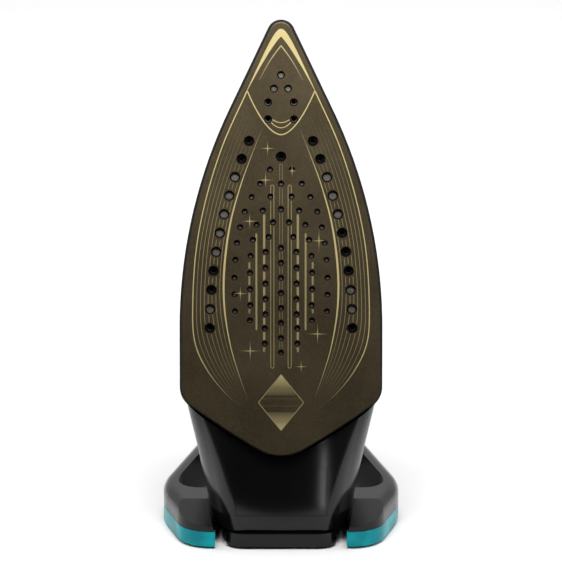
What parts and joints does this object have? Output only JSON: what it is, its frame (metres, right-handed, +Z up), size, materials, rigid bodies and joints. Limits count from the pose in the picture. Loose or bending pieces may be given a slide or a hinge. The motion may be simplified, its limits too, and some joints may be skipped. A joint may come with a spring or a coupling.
{
  "type": "cordless steam iron",
  "caption": "Cordless steam iron docked nose-up on a charging base, with lift-off, dial, steam lever, sprung keys and filler door.",
  "frame": {"origin": "on the floor, under the middle of the whole object's box", "axes": "+Z up, soleplate facing -Y, +X to the right seen from the front"},
  "size_m": [0.1318, 0.1592, 0.2888],
  "materials": {
    "sole_enamel": "satin metallic enamel",
    "casting": "as cast",
    "element_steel": "oxidised",
    "silicone": "matte",
    "screw_steel": "zinc plated",
    "black_gloss": "glossy moulding",
    "black_satin": "satin moulding",
    "teal_satin": "satin teal",
    "tank_tint": "translucent tinted plastic",
    "door_tint": "tinted plastic",
    "inner_plastic": "natural moulding",
    "spring_steel": "drawn wire",
    "brass": "turned",
    "dial_black": "satin moulding",
    "soft_grip": "matte soft touch",
    "lens_amber": "clear lens",
    "board": "coated board",
    "fuse_ceramic": "glazed"
  },
  "bodies": {
    "base": {"base_shell": "black_gloss", "base_bottom": "black_satin", "accent_left": "teal_satin", "accent_right": "teal_satin", "base_feet": "soft_grip", "base_screws": "screw_steel", "rest_pads": "soft_grip", "contact_plinth": "black_satin", "contact_blades": "brass", "cord_gland": "black_satin", "base_board": "board"},
    "iron": {"soleplate": "sole_enamel", "heater_casting": "casting", "heating_element": "element_steel", "chamber_gasket": "silicone", "chamber_cover": "casting", "cover_screws": "screw_steel", "thermostat": "inner_plastic", "thermal_fuse": "fuse_ceramic", "skirt": "black_satin", "heel_shell": "black_gloss", "heel_panel": "black_gloss", "contact_socket": "black_satin", "iron_contacts": "brass", "water_tank": "tank_tint", "valve_seat": "brass", "filler_pin": "screw_steel", "filler_lugs": "door_tint", "spray_nozzle": "inner_plastic", "handle_body": "black_satin", "handle_cover": "black_gloss", "grip_pad": "soft_grip", "spray_pump": "inner_plastic", "spray_spring": "spring_steel", "boost_pump": "inner_plastic", "boost_spring": "spring_steel", "indicator_lens": "lens_amber", "control_board": "board", "handle_screws": "screw_steel"},
    "dial": {"temperature_dial": "dial_black", "dial_spindle": "dial_black"},
    "spray_key": {"spray_button": "teal_satin", "spray_piston": "inner_plastic"},
    "boost_key": {"boost_button": "teal_satin", "boost_piston": "inner_plastic"},
    "lever": {"steam_lever": "teal_satin"},
    "needle": {"valve_needle": "brass"},
    "door": {"filler_door": "door_tint"}
  },
  "joints": [
    {"name": "iron_lift", "type": "slide", "parent": "base", "child": "iron", "axis": [0, 0, 1], "range_m": [0, 0.06]},
    {"name": "dial_turn", "type": "hinge", "parent": "iron", "child": "dial", "pos_m": [0, -0.00104, 0.13348], "axis": [0, 0.9848, -0.1736], "range_deg": [0, 270]},
    {"name": "spray_press", "type": "slide", "parent": "iron", "child": "spray_key", "axis": [0, -0.9848, 0.1736], "range_m": [0, 0.0035], "stiffness_N_per_m": 600, "springref_m": -0.001, "deforming": ["spray_spring"]},
    {"name": "boost_press", "type": "slide", "parent": "iron", "child": "boost_key", "axis": [0, -0.9848, 0.1736], "range_m": [0, 0.0035], "stiffness_N_per_m": 700, "springref_m": -0.001, "deforming": ["boost_spring"]},
    {"name": "lever_turn", "type": "hinge", "parent": "iron", "child": "lever", "pos_m": [0, 0.04866, 0.20798], "axis": [0, 0.9848, -0.1736], "range_deg": [-28, 28]},
    {"name": "needle_lift", "type": "slide", "parent": "iron", "child": "needle", "axis": [0, 0.9848, -0.1736], "range_m": [-0.00151, 0.00151]},
    {"name": "door_swing", "type": "hinge", "parent": "iron", "child": "door", "pos_m": [0, 0.01995, 0.24838], "axis": [-1, 0, 0], "range_deg": [0, 95]}
  ],
  "couplings": [
    {"joint": "needle_lift", "follows": "lever_turn", "m_per_rad": 0.0030694}
  ]
}
